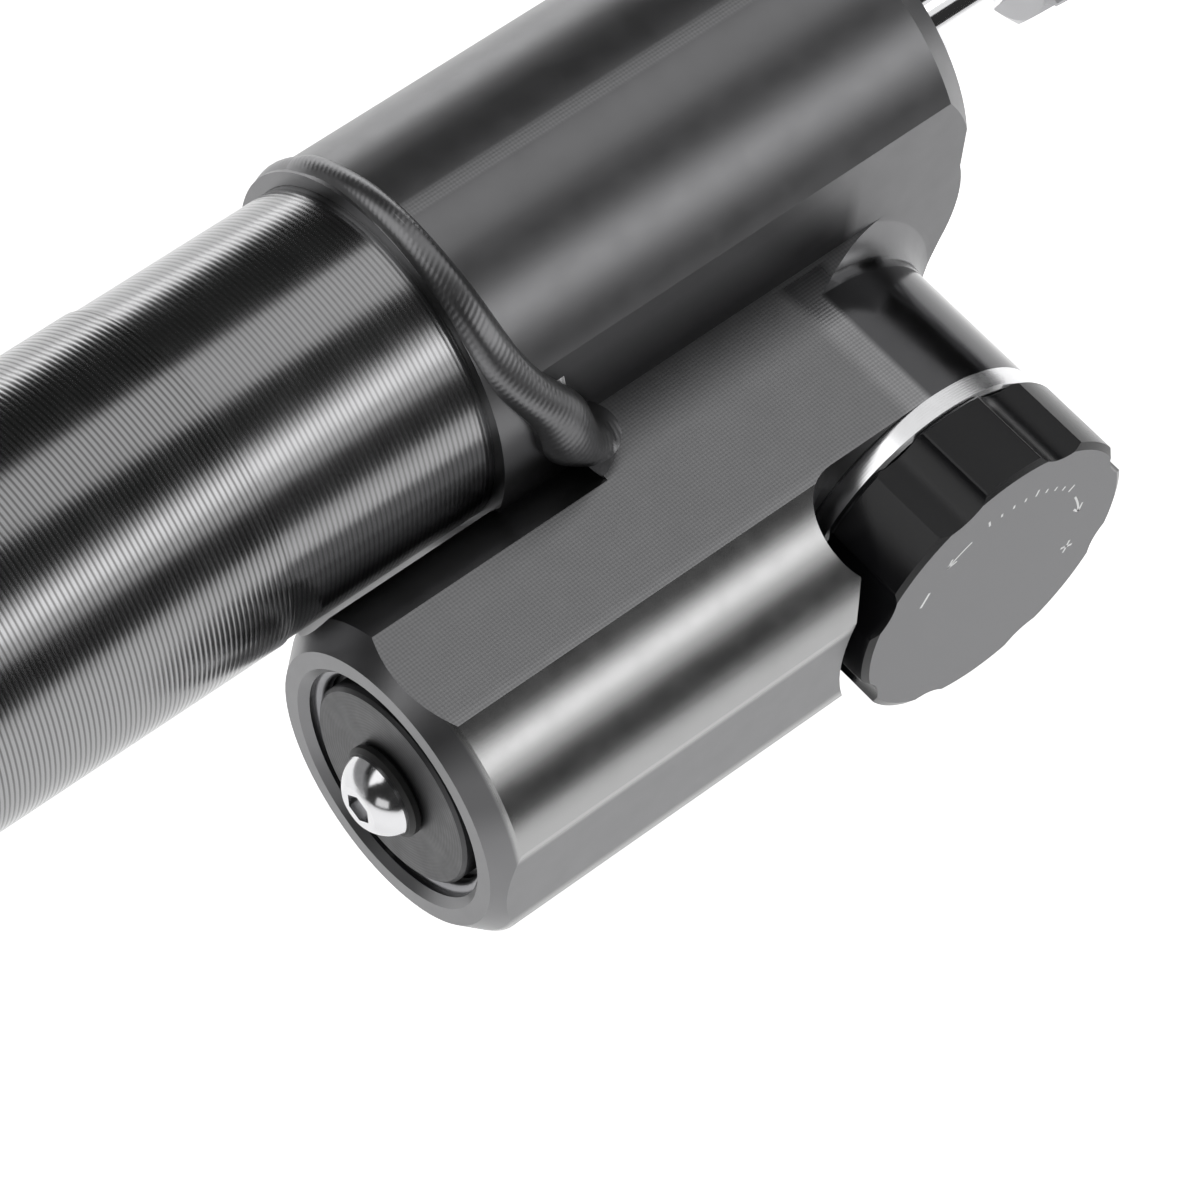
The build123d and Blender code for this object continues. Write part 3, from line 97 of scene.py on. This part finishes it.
# Material helpers
class Shader:
    """A material with its Principled shader and short ways to add nodes."""

    def __init__(self, name, colour, metallic, roughness, **facts):
        self.material = bpy.data.materials.new(name)
        self.material.use_nodes = True
        self.tree = self.material.node_tree
        self.bsdf = self.tree.nodes["Principled BSDF"]
        self.set("Base Color", (*colour, 1))
        self.set("Metallic", metallic)
        self.set("Roughness", roughness)
        for socket, value in facts.items():
            self.set(socket.replace("_", " "), value)
        self.height = None
        texture = self.node("ShaderNodeTexCoord")
        split = self.node("ShaderNodeSeparateXYZ")
        self.join(texture.outputs["Object"], split.inputs[0])
        self.place = texture.outputs["Object"]
        self.x, self.y, self.z = split.outputs
        facing = self.node("ShaderNodeSeparateXYZ")
        self.join(texture.outputs["Normal"], facing.inputs[0])
        self.nx, self.ny, self.nz = facing.outputs

    def set(self, socket, value):
        self.bsdf.inputs[socket].default_value = value

    def node(self, kind):
        return self.tree.nodes.new(kind)

    def join(self, a, b):
        self.tree.links.new(a, b)

    def math(self, operation, a, b=0.0, c=None):
        """One Math node on numbers or sockets."""
        made = self.node("ShaderNodeMath")
        made.operation = operation
        for socket, value in zip(made.inputs, (a, b, c)):
            if value is None:
                continue
            if isinstance(value, (int, float)):
                socket.default_value = value
            else:
                self.join(value, socket)
        return made.outputs[0]

    def ramp(self, value, low, high):
        """0 up to low and 1 from high on, straight between; low may be the larger."""
        made = self.node("ShaderNodeMapRange")
        made.clamp = True
        self.join(value, made.inputs["Value"])
        made.inputs["From Min"].default_value = low
        made.inputs["From Max"].default_value = high
        return made.outputs["Result"]

    def waves(self, value, pitch):
        """Sine of a place with that pitch, from -1 to 1."""
        return self.math("SINE", self.math("MULTIPLY", value, 2 * math.pi / pitch))

    def noise(self, size, stretch=(1, 1, 1), detail=3.0):
        """Noise of about that grain size, stretched along the axes."""
        scaled = self.node("ShaderNodeMapping")
        self.join(self.place, scaled.inputs["Vector"])
        scaled.inputs["Scale"].default_value = [1 / (size * s) for s in stretch]
        made = self.node("ShaderNodeTexNoise")
        made.inputs["Scale"].default_value = 1.0
        made.inputs["Detail"].default_value = detail
        self.join(scaled.outputs[0], made.inputs["Vector"])
        return made.outputs["Fac"]

    def distance(self, u, v, centre_u, centre_v):
        """Distance from an axis that lies along the third direction."""
        du = self.math("SUBTRACT", u, centre_u)
        dv = self.math("SUBTRACT", v, centre_v)
        squares = self.math("ADD", self.math("MULTIPLY", du, du), self.math("MULTIPLY", dv, dv))
        return self.math("SQRT", squares)

    def raise_by(self, height, depth):
        """Adds a height of that depth in metres to the surface."""
        part = self.math("MULTIPLY", height, depth)
        self.height = part if self.height is None else self.math("ADD", self.height, part)

    def mix_colour(self, mask, a, b):
        """Base colour from a to b with the mask; each is a colour or what an earlier mix gave."""
        mix = self.node("ShaderNodeMix")
        mix.data_type = "RGBA"
        self.join(mask, mix.inputs["Factor"])
        for socket, value in ((mix.inputs["A"], a), (mix.inputs["B"], b)):
            if isinstance(value, tuple):
                socket.default_value = (*value, 1)
            else:
                self.join(value, socket)
        self.join(mix.outputs["Result"], self.bsdf.inputs["Base Color"])
        return mix.outputs["Result"]

    def vary(self, socket, mask, low, high):
        """Drives a socket of the shader from low to high with the mask."""
        made = self.node("ShaderNodeMapRange")
        self.join(mask, made.inputs["Value"])
        made.inputs["To Min"].default_value = low
        made.inputs["To Max"].default_value = high
        self.join(made.outputs["Result"], self.bsdf.inputs[socket])

    def done(self):
        """Joins the gathered height as bump and gives the material."""
        if self.height is not None:
            bump = self.node("ShaderNodeBump")
            bump.inputs["Strength"].default_value = 1.0
            bump.inputs["Distance"].default_value = 1.0
            self.join(self.height, bump.inputs["Height"])
            self.join(bump.outputs["Normal"], self.bsdf.inputs["Normal"])
        return self.material


# Head: where its finishes end, and what they measure
DRAWN_GRAIN = 0.12 * MM
DRAWN_LENGTH = 160
DRAWN_DEPTH = 0.001 * MM
MILL_PITCH = 0.34 * MM
MILL_DEPTH = 0.0014 * MM
RIPPLE_PITCH = 0.55 * MM
RIPPLE_DEPTH = 0.005 * MM
RIPPLE_LEAN = 0.6
RIB_END_X = MOUTH_X + 12 * MM
CORNER_TOP_Z = 6.5 * MM
CORNER_END_X = KNOB_AT.x + 6.5 * MM

BARREL_COLOUR = (0.185, 0.185, 0.189)
# Painted highlight: a brighter colour on the reservoir's round side
RESERVOIR_PAINTED_HIGHLIGHT = (0.37, 0.37, 0.37)
# Painted shade: a dark colour in the wall's corner just above the flat
CORNER_PAINTED_SHADE = (0.045, 0.045, 0.047)
# Painted shade: a darker colour on the boss
BOSS_PAINTED_SHADE = (0.085, 0.085, 0.088)
MILLED_LOW = (0.235, 0.235, 0.24)
MILLED_HIGH = (0.305, 0.305, 0.31)

HEAD_ROUGH = 0.295
HEAD_ROUGH_SPREAD = 0.1
FLAT_ROUGHER = 0.09
BOSS_SMOOTHER = 0.21
SIDE_SMOOTHER = 0.1


def head_masks(s):
    """Masks of the milled flat, the rippled bead, the reservoir's side, the wall, its corner for painted
    shade and the boss.
    """
    flat = s.ramp(s.nz, 0.9985, 0.9996)
    radius = s.distance(s.y, s.z, 0.0, 0.0)
    outside = s.ramp(radius, HEAD_R + 0.2 * MM, HEAD_R + 0.5 * MM)
    near = s.ramp(s.x, RIB_END_X + 0.4 * MM, RIB_END_X - 0.4 * MM)
    above = s.ramp(s.z, FLAT_Z + 0.2 * MM, FLAT_Z + 0.8 * MM)
    bead = s.math("MULTIPLY", s.math("MULTIPLY", outside, near), above)
    from_reservoir = s.distance(s.y, s.z, PLUG_AT.y, PLUG_AT.z)
    side = s.math("MULTIPLY", s.ramp(from_reservoir, RES_R - 0.4 * MM, RES_R - 0.15 * MM),
                  s.ramp(s.y, PLUG_AT.y + 0.2 * MM, PLUG_AT.y - 0.2 * MM))
    wall = s.math("MULTIPLY", s.ramp(s.math("MULTIPLY", s.ny, -1.0), 0.98, 0.99),
                  s.ramp(s.y, WALL_Y - 0.3 * MM, WALL_Y - 0.1 * MM))
    # Painted shade: the corner of the wall just above the flat, short of the knob
    shaded_corner = s.math("MULTIPLY", wall, s.ramp(s.z, CORNER_TOP_Z, FLAT_Z + 1.5 * MM))
    shaded_corner = s.math("MULTIPLY", shaded_corner, s.ramp(s.x, CORNER_END_X, CORNER_END_X - 1.5 * MM))
    shaded_corner = s.math("MULTIPLY", shaded_corner, s.ramp(s.z, FLAT_Z - 0.1 * MM, FLAT_Z))
    from_boss = s.distance(s.x, s.z, KNOB_AT.x, KNOB_AT.z)
    boss = s.math("MULTIPLY", s.ramp(from_boss, BOSS_R + 0.3 * MM, BOSS_R + 0.1 * MM),
                  s.ramp(s.y, WALL_Y - 0.3 * MM, WALL_Y - 0.6 * MM))
    return flat, bead, side, wall, shaded_corner, boss


def head_finish():
    """Satin black anodising: drawn lines on the barrel, a cutter grid on the flats, ripples on the bead;
    painted highlight on the reservoir's side, painted shade on the boss and in the wall's corner.
    """
    s = Shader("head_anodised", BARREL_COLOUR, 1.0, HEAD_ROUGH)
    flat, bead, side, wall, shaded_corner, boss = head_masks(s)
    s.raise_by(s.noise(DRAWN_GRAIN, stretch=(DRAWN_LENGTH, 1, 1), detail=2.0), DRAWN_DEPTH)
    grid = s.math("ADD", s.waves(s.x, MILL_PITCH), s.waves(s.y, MILL_PITCH))
    s.raise_by(s.math("MULTIPLY", grid, flat), MILL_DEPTH)
    # Ripples of the round cutter lean across the bead and the rib
    turn = s.math("ARCTAN2", s.z, s.math("MULTIPLY", s.y, -1.0))
    lean = s.math("MULTIPLY", s.x, RIPPLE_LEAN)
    along = s.math("SUBTRACT", s.math("MULTIPLY", turn, HEAD_R), lean)
    s.raise_by(s.math("MULTIPLY", s.waves(along, RIPPLE_PITCH), bead), RIPPLE_DEPTH)
    # Painted highlight makes the reservoir's round side brighter; painted shade makes the boss and the corner
    # darker
    colour = s.mix_colour(side, BARREL_COLOUR, RESERVOIR_PAINTED_HIGHLIGHT)
    colour = s.mix_colour(shaded_corner, colour, CORNER_PAINTED_SHADE)
    colour = s.mix_colour(boss, colour, BOSS_PAINTED_SHADE)
    milled = s.mix_colour(s.math("MULTIPLY_ADD", grid, 0.25, 0.5), MILLED_LOW, MILLED_HIGH)
    s.mix_colour(flat, colour, milled)
    # The flats and the wall are rougher, the boss and the round side smoother
    cloud = s.math("MULTIPLY", s.noise(2.5 * MM, detail=4.0), HEAD_ROUGH_SPREAD)
    rough = s.math("ADD", s.math("ADD", cloud, HEAD_ROUGH), s.math("MULTIPLY", flat, FLAT_ROUGHER))
    smooth = s.math("ADD", s.math("MULTIPLY", boss, BOSS_SMOOTHER),
                    s.math("MULTIPLY", s.math("SUBTRACT", side, wall), SIDE_SMOOTHER))
    s.join(s.math("SUBTRACT", rough, smooth), s.bsdf.inputs["Roughness"])
    return s.done()


GROOVE_PITCH = 0.5 * MM
GROOVE_DEPTH = 0.008 * MM
FACING_PITCH = 0.45 * MM
FACING_DEPTH = 0.006 * MM
GROOVE_TOP = (0.32, 0.32, 0.325)
# Painted shade: a darker colour in the bottoms of the turned grooves
GROOVE_PAINTED_SHADE = (0.14, 0.14, 0.14)


def tube_finish():
    """Gloss black anodising over fine turned grooves, with painted shade in the groove bottoms."""
    s = Shader("tube_anodised", GROOVE_TOP, 1.0, 0.2)
    radius = s.distance(s.y, s.z, 0.0, 0.0)
    wall = s.ramp(radius, TUBE_R - 0.3 * MM, TUBE_R - 0.15 * MM)
    grooves = s.waves(s.x, GROOVE_PITCH)
    s.raise_by(s.math("MULTIPLY", grooves, wall), GROOVE_DEPTH)
    # Painted shade: the groove bottoms are darker
    groove_shade = s.math("MULTIPLY", s.ramp(grooves, 0.2, -1.0), wall)
    s.mix_colour(groove_shade, GROOVE_TOP, GROOVE_PAINTED_SHADE)
    rings = s.waves(radius, FACING_PITCH)
    end = s.ramp(s.math("ABSOLUTE", s.nx), 0.95, 0.99)
    s.raise_by(s.math("MULTIPLY", rings, end), FACING_DEPTH)
    s.vary("Roughness", s.noise(3 * MM, detail=4.0), 0.16, 0.25)
    return s.done()


def turned_finish(name, colour, metallic, roughness, centre_node, axis, depth=0.004, pitch=0.3):
    """A turned surface: fine rings on the node's ends, lines round its sides.

    Depth and pitch are in millimetres.
    """
    s = Shader(name, colour, metallic, roughness)
    at = middle(centre_node)
    places = (s.x, s.y, s.z)
    normals = (s.nx, s.ny, s.nz)
    u, v = [i for i in range(3) if i != axis]
    radius = s.distance(places[u], places[v], at[u], at[v])
    end = s.ramp(s.math("ABSOLUTE", normals[axis]), 0.9, 0.98)
    rings = s.math("MULTIPLY", s.waves(radius, pitch * MM), end)
    s.raise_by(rings, depth * MM)
    side = s.math("SUBTRACT", 1.0, end)
    s.raise_by(s.math("MULTIPLY", s.waves(places[axis], pitch * MM), side), depth * MM)
    s.vary("Roughness", s.noise(1.5 * MM, detail=3.0), roughness * 0.75, roughness * 1.3)
    return s.done()


KNOB_SIDE = (0.007, 0.007, 0.008)
KNOB_FACE = (0.2, 0.2, 0.205)


def knob_finish():
    """Gloss black sides and a fine blasted grey face."""
    s = Shader("knob_anodised", KNOB_SIDE, 0.0, 0.2, Specular_IOR_Level=0.3)
    face = s.math("MULTIPLY", s.ramp(s.math("MULTIPLY", s.ny, -1.0), 0.97, 0.995),
                  s.ramp(s.y, KNOB_FACE_Y + 0.1 * MM, KNOB_FACE_Y + 0.05 * MM))
    s.mix_colour(face, KNOB_SIDE, KNOB_FACE)
    s.vary("Roughness", face, 0.22, 0.5)
    s.vary("Metallic", face, 0.0, 0.75)
    s.raise_by(s.noise(0.12 * MM, detail=2.0), 0.012 * MM)
    return s.done()


def plain_finish(name, colour, metallic, roughness, grain=0.4, depth=0.004, **facts):
    """A surface with a fine even grain."""
    s = Shader(name, colour, metallic, roughness, **facts)
    s.raise_by(s.noise(grain * MM, detail=3.0), depth * MM)
    s.vary("Roughness", s.noise(2 * MM, detail=3.0), roughness * 0.8, roughness * 1.2)
    return s.done()


def rubber_finish():
    """Plain black rubber."""
    s = Shader("rubber_plain", (0.012, 0.012, 0.012), 0.0, 0.5, Specular_IOR_Level=0.35)
    s.raise_by(s.noise(0.15 * MM, detail=3.0), 0.01 * MM)
    s.vary("Roughness", s.noise(0.8 * MM), 0.42, 0.6)
    return s.done()


CHROME = (0.82, 0.82, 0.83)


def rod_finish():
    """Hard chrome, ground and polished, with hardly visible lines round it."""
    s = Shader("rod_chromed", CHROME, 1.0, 0.07)
    s.raise_by(s.noise(0.08 * MM, stretch=(1, 60, 60), detail=2.0), 0.0004 * MM)
    s.vary("Roughness", s.noise(4 * MM), 0.05, 0.1)
    return s.done()


PLUG_BLACK = (0.07, 0.07, 0.072)
BRIGHT_ALLOY = (0.8, 0.8, 0.81)
PLAIN_ALLOY = (0.72, 0.72, 0.72)
STAINLESS = (0.66, 0.66, 0.67)
SPRING_STEEL = (0.22, 0.22, 0.23)
PLATED_STEEL = (0.4, 0.4, 0.41)
BALL_STEEL = (0.6, 0.6, 0.61)
VALVE_STEEL = (0.55, 0.55, 0.57)
BRONZE = (0.62, 0.42, 0.2)
SLIP_PLASTIC = (0.55, 0.53, 0.48)
ALONG_X, ALONG_Y = 0, 1

# Each finish with the nodes that have it
FINISHES = [
    (head_finish(), ["head_body"]),
    (tube_finish(), ["damper_tube", "end_cap"]),
    (turned_finish("plug_anodised", PLUG_BLACK, 0.9, 0.4, "reservoir_plug", ALONG_X, 0.003, 0.35),
     ["reservoir_plug"]),
    (knob_finish(), ["knob"]),
    (turned_finish("collar_turned", BRIGHT_ALLOY, 1.0, 0.22, "detent_collar", ALONG_Y, 0.0004, 0.25),
     ["detent_collar"]),
    (plain_finish("screw_polished", STAINLESS, 1.0, 0.16, 0.2, 0.002), ["bleed_screw", "knob_grub_screw"]),
    (plain_finish("spring_steel", SPRING_STEEL, 1.0, 0.3),
     ["snap_ring", "wiper_clip", "spindle_clip", "detent_spring"]),
    (rod_finish(), ["piston_rod"]),
    (plain_finish("steel_plated", PLATED_STEEL, 1.0, 0.3, 0.25, 0.004),
     ["rod_end_body", "jam_nut", "piston_nut"]),
    (plain_finish("ball_polished", BALL_STEEL, 1.0, 0.12, 0.3, 0.001),
     ["rod_end_ball", "detent_ball", "front_shim", "back_shim"]),
    (turned_finish("valve_turned", VALVE_STEEL, 1.0, 0.25, "valve_cartridge", ALONG_Y),
     ["knob_spindle", "needle_valve", "valve_seat", "valve_cartridge"]),
    (turned_finish("alloy_turned", PLAIN_ALLOY, 1.0, 0.28, "piston", ALONG_X), ["piston"]),
    (turned_finish("alloy_turned_small", PLAIN_ALLOY, 1.0, 0.28, "floating_piston", ALONG_X),
     ["floating_piston"]),
    (turned_finish("bronze_turned", BRONZE, 1.0, 0.3, "rod_guide", ALONG_X), ["rod_guide"]),
    (plain_finish("slip_plastic_grain", SLIP_PLASTIC, 0.0, 0.5), ["piston_band", "rod_end_liner"]),
    (rubber_finish(),
     ["end_cap_o_ring", "rod_seal", "rod_wiper", "plug_o_ring", "bleed_washer", "floating_o_ring",
      "cartridge_o_ring", "spindle_o_ring", "bump_rubber"]),
]
for material, names in FINISHES:
    for name in names:
        for material_slot in NODES[name].material_slots:
            material_slot.material = material


def new_object(name, mesh, material, body):
    """Links a finished mesh, gives it its material and lets it ride."""
    made = bpy.data.objects.new(name, mesh)
    bpy.context.scene.collection.objects.link(made)
    made.data.materials.append(material)
    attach(made, body)


# Engraved marks on the knob face: a minus, an arrow, click ticks, an arrow and a plus.
# Angles are in degrees about the knob axis, from +X toward +Z.
MARK_T = 0.03 * MM
MARK_SINK = 0.003 * MM
MARK_W = 0.32 * MM
FINE_W = MARK_W * 0.7
PLUS_W = MARK_W * 0.8
MARK_R = 9.6 * MM
MINUS_AT = 153
MINUS_HALF_TURN = 0.09
ARROWS = ((114, 132), (26, 8))
ARROW_STEPS = 6
BARB_LENGTH = 0.95 * MM
BARB_SPREAD = 0.5 * MM
TICKS_FROM = 102
TICK_TURN = 8
TICKS = 9
LONG_TICK = 0.8 * MM
SHORT_TICK = 0.45 * MM
PLUS_AT = 339
PLUS_ARM = 0.75 * MM
MARK_PAINT = plain_finish("mark_paint", (0.75, 0.75, 0.75), 0.0, 0.5, 0.2, 0.002)


def mark_point(angle, radius):
    """A place on the knob face, at an angle in radians."""
    return Vector((
        KNOB_AT.x + radius * math.cos(angle),
        KNOB_FACE_Y - MARK_SINK,
        KNOB_AT.z + radius * math.sin(angle),
    ))


def stroke(bm, start, end, width):
    """A thin raised bar from start to end on the face."""
    along = (end - start).normalized()
    side = Vector((-along.z, 0, along.x)) * width / 2
    top = [bm.verts.new(p) for p in (start + side, start - side, end - side, end + side)]
    face = bm.faces.new(top)
    made = bmesh.ops.extrude_face_region(bm, geom=[face])
    for v in made["geom"]:
        if isinstance(v, bmesh.types.BMVert):
            v.co.y += MARK_T


def minus_mark(bm):
    middle_angle = math.radians(MINUS_AT)
    low = mark_point(middle_angle - MINUS_HALF_TURN, MARK_R)
    high = mark_point(middle_angle + MINUS_HALF_TURN, MARK_R)
    stroke(bm, low, high, MARK_W)


def arrow_mark(bm, tail, tip):
    """A curved arrow along the marks' circle."""
    angles = [math.radians(tail + (tip - tail) * i / ARROW_STEPS) for i in range(ARROW_STEPS + 1)]
    for a, b in zip(angles, angles[1:]):
        stroke(bm, mark_point(a, MARK_R), mark_point(b, MARK_R), FINE_W)
    back = angles[-1] + math.copysign(BARB_LENGTH / MARK_R, tail - tip)
    for shift in (-BARB_SPREAD, BARB_SPREAD):
        stroke(bm, mark_point(angles[-1], MARK_R), mark_point(back, MARK_R + shift), FINE_W)


def tick_marks(bm):
    """One tick per click, with every fourth longer."""
    for i in range(TICKS):
        angle = math.radians(TICKS_FROM - i * TICK_TURN)
        length = LONG_TICK if i % 4 == 0 else SHORT_TICK
        stroke(bm, mark_point(angle, MARK_R), mark_point(angle, MARK_R + length), FINE_W)


def plus_mark(bm):
    angle = math.radians(PLUS_AT)
    stroke(bm, mark_point(angle, MARK_R - PLUS_ARM), mark_point(angle, MARK_R + PLUS_ARM), PLUS_W)
    across = Vector((-math.sin(angle), 0, math.cos(angle))) * PLUS_ARM
    centre = mark_point(angle, MARK_R)
    stroke(bm, centre - across, centre + across, PLUS_W)


def knob_marks():
    bm = bmesh.new()
    minus_mark(bm)
    for tail, tip in ARROWS:
        arrow_mark(bm, tail, tip)
    tick_marks(bm)
    plus_mark(bm)
    bmesh.ops.recalc_face_normals(bm, faces=bm.faces)
    mesh = bpy.data.meshes.new("knob_marks")
    bm.to_mesh(mesh)
    bm.free()
    new_object("knob_marks", mesh, MARK_PAINT, "knob_set")


knob_marks()


# Floor, lights and camera
FLOOR_DROP = 0.06
FLOOR_SIZE = 6.0
FLOOR_GLOW = 0.75


def floor_finish():
    """A pale matt sheet, lit a little from below like a light table."""
    s = Shader("floor_pale", (0.9, 0.9, 0.9), 0.0, 0.8,
               Emission_Color=(1, 1, 1, 1), Emission_Strength=FLOOR_GLOW)
    return s.done()


def floor():
    bm = bmesh.new()
    bmesh.ops.create_grid(bm, x_segments=1, y_segments=1, size=FLOOR_SIZE / 2)
    mesh = bpy.data.meshes.new("floor")
    bm.to_mesh(mesh)
    bm.free()
    made = bpy.data.objects.new("floor", mesh)
    bpy.context.scene.collection.objects.link(made)
    made.location.z = CAD_BOX[0][2] - FLOOR_DROP
    made.data.materials.append(floor_finish())


floor()

# Direction of what the turned surfaces mirror to the camera: fixed along X, turning about it
LEAN_X = 0.405
LIGHT_REACH = 0.9
LIT_AT = Vector((MOUTH_X, 0, 0))


def area_light(name, size_x, size_y, radiance):
    """A rectangular light whose power follows from its size and radiance."""
    light = bpy.data.lights.new(name, "AREA")
    light.shape = "RECTANGLE"
    light.size = size_x
    light.size_y = size_y
    light.energy = radiance * math.pi * size_x * size_y
    made = bpy.data.objects.new(name, light)
    bpy.context.scene.collection.objects.link(made)
    return made


def softbox(name, angle, width, length, radiance):
    """A long light along X, seen in the barrel at that angle in degrees from +Z toward -Y."""
    a = math.radians(angle)
    ring = math.sqrt(1 - LEAN_X**2)
    towards = Vector((LEAN_X, -ring * math.sin(a), ring * math.cos(a)))
    x_axis = (Vector((1, 0, 0)) - towards * LEAN_X).normalized()
    y_axis = towards.cross(x_axis)
    turn = Matrix((x_axis, y_axis, towards)).transposed().to_4x4()
    made = area_light(name, length, width, radiance)
    made.matrix_world = Matrix.Translation(LIT_AT + towards * LIGHT_REACH) @ turn


def panel(name, towards, width, height, radiance):
    """A soft panel off the damper's axis, for the collar, the chamfers and the screw."""
    direction = Vector(towards).normalized()
    made = area_light(name, width, height, radiance)
    made.rotation_mode = "QUATERNION"
    made.rotation_quaternion = direction.to_track_quat("Z", "Y")
    made.location = LIT_AT + direction * LIGHT_REACH


softbox("light_top", angle=-11, width=0.52, length=1.6, radiance=0.95)
softbox("light_front", angle=50, width=0.44, length=1.6, radiance=0.9)
softbox("light_front_core", angle=48, width=0.18, length=1.6, radiance=1.5)
softbox("light_rear", angle=-112, width=0.9, length=1.8, radiance=1.9)
panel("light_left_high", (-0.5, 0.45, 0.74), width=0.8, height=0.7, radiance=1.4)
panel("light_left_low", (-0.85, -0.5, 0.22), width=0.45, height=0.3, radiance=0.9)

SKY_SEEN = (0.93, 0.93, 0.93, 1)
SKY_MIRRORED = (0.03, 0.03, 0.03, 1)


def world():
    """Pale to the camera, dim in what the metal mirrors."""
    made = bpy.data.worlds.new("studio")
    bpy.context.scene.world = made
    made.use_nodes = True
    tree = made.node_tree
    back = tree.nodes["Background"]
    path = tree.nodes.new("ShaderNodeLightPath")
    mix = tree.nodes.new("ShaderNodeMix")
    mix.data_type = "RGBA"
    tree.links.new(path.outputs["Is Camera Ray"], mix.inputs["Factor"])
    mix.inputs["A"].default_value = SKY_MIRRORED
    mix.inputs["B"].default_value = SKY_SEEN
    tree.links.new(mix.outputs["Result"], back.inputs["Color"])


world()

# Camera, fitted to the photograph
CAMERA_AT = Vector((MOUTH_X - 0.20242, -0.22221, 0.41158))
CAMERA_AIM = Vector((MOUTH_X + 0.00354, -0.02586, -0.00923))
CAMERA_ROLL = math.radians(6.9)
FOCAL_PIXELS = 6185
IMAGE_PIXELS = 1200
SENSOR_MM = 36


def camera():
    data = bpy.data.cameras.new("camera")
    data.sensor_width = SENSOR_MM
    data.lens = SENSOR_MM * FOCAL_PIXELS / IMAGE_PIXELS
    data.clip_start = 0.02
    made = bpy.data.objects.new("camera", data)
    bpy.context.scene.collection.objects.link(made)
    made.location = CAMERA_AT
    look = (CAMERA_AIM - CAMERA_AT).to_track_quat("-Z", "Y")
    made.rotation_mode = "QUATERNION"
    made.rotation_quaternion = look @ Matrix.Rotation(CAMERA_ROLL, 3, "Z").to_quaternion()
    bpy.context.scene.camera = made


camera()
bpy.context.scene.view_settings.view_transform = "Standard"
